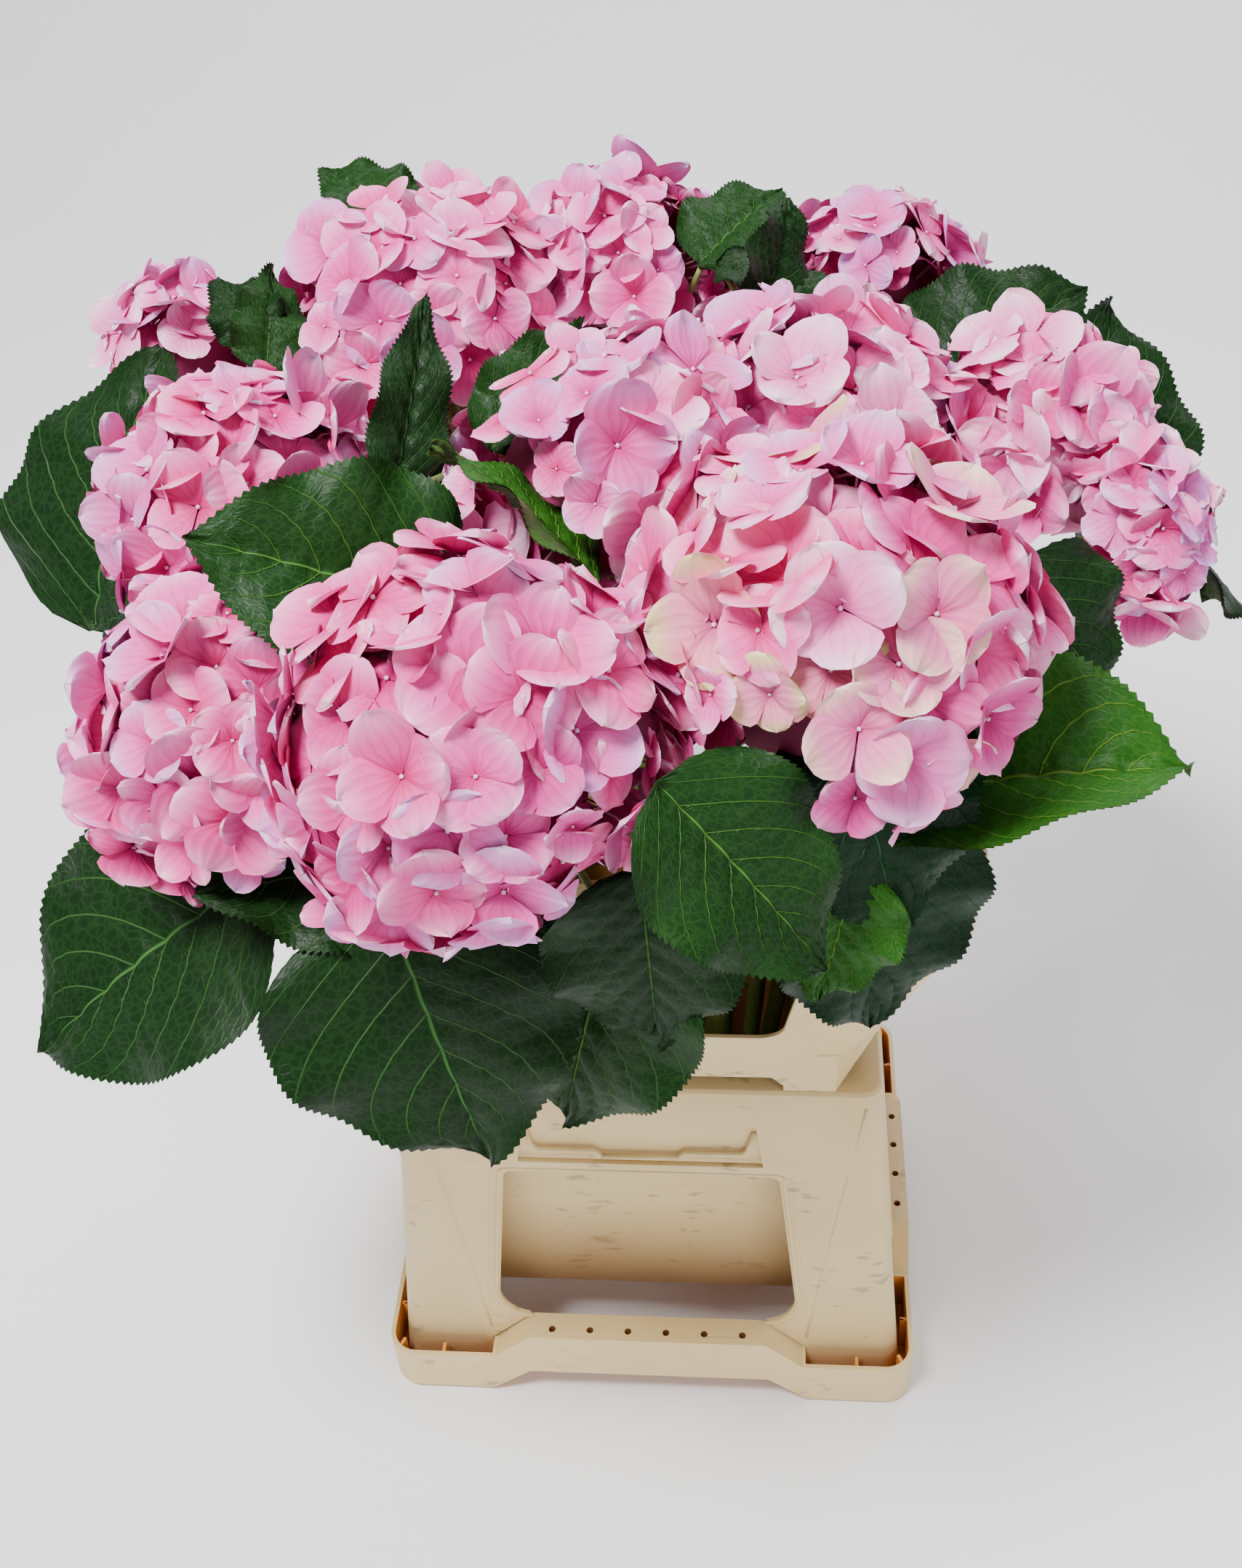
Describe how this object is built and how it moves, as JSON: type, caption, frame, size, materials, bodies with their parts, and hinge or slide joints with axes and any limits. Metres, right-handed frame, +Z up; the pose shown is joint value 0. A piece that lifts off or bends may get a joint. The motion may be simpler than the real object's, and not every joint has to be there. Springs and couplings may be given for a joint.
{
  "type": "potted mophead hydrangea shrub",
  "caption": "Mophead hydrangea shrub with pink domed flower heads and broad toothed leaves, its green stems standing in a cream plastic container with a slotted collar.",
  "frame": {"origin": "centre of the bounding box's underside, on the ground", "axes": "+Z up, -Y the front that faces the viewer, +X to the viewer's right; the container stands a little off the origin under its lopsided crown"},
  "size_m": [0.6034, 0.5756, 0.618],
  "materials": {
    "cream_plastic": "moulded cream plastic, slightly scuffed",
    "green_stem": "smooth green woody stem",
    "florets_pink": "matte petals",
    "florets_pale": "matte petals",
    "florets_deep": "matte petals"
  },
  "bodies": {
    "root": {"bloom_01": "florets_pale", "bloom_02": "florets_deep", "bloom_03": "florets_pink", "bloom_04": "florets_pale", "bloom_05": "florets_deep", "bloom_06": "florets_pink", "bloom_07": "florets_pale", "bloom_08": "florets_deep", "bloom_09": "florets_pink", "bloom_10": "florets_pale", "bloom_11": "florets_deep", "bloom_12": "florets_pink", "bloom_13": "florets_pale", "bloom_14": "florets_deep", "bloom_15": "florets_pink", "stem_01": "green_stem", "stem_02": "green_stem", "stem_03": "green_stem", "stem_04": "green_stem", "stem_05": "green_stem", "stem_06": "green_stem", "stem_07": "green_stem", "stem_08": "green_stem", "stem_09": "green_stem", "stem_10": "green_stem", "stem_11": "green_stem", "stem_12": "green_stem", "stem_13": "green_stem", "stem_14": "green_stem", "stem_15": "green_stem", "body_post_back_left": "cream_plastic", "collar_post_back_left": "cream_plastic", "tray_corner_back_left": "cream_plastic", "body_post_back_right": "cream_plastic", "collar_post_back_right": "cream_plastic", "tray_corner_back_right": "cream_plastic", "body_post_front_left": "cream_plastic", "collar_post_front_left": "cream_plastic", "tray_corner_front_left": "cream_plastic", "body_post_front_right": "cream_plastic", "collar_post_front_right": "cream_plastic", "tray_corner_front_right": "cream_plastic", "collar_cuff_back": "cream_plastic", "collar_sill_back": "cream_plastic", "tray_rail_back": "cream_plastic", "collar_cuff_front": "cream_plastic", "collar_sill_front": "cream_plastic", "tray_rail_front": "cream_plastic", "collar_cuff_left": "cream_plastic", "collar_sill_left": "cream_plastic", "tray_rail_left": "cream_plastic", "collar_cuff_right": "cream_plastic", "collar_sill_right": "cream_plastic", "tray_rail_right": "cream_plastic", "tub": "cream_plastic"}
  },
  "joints": []
}
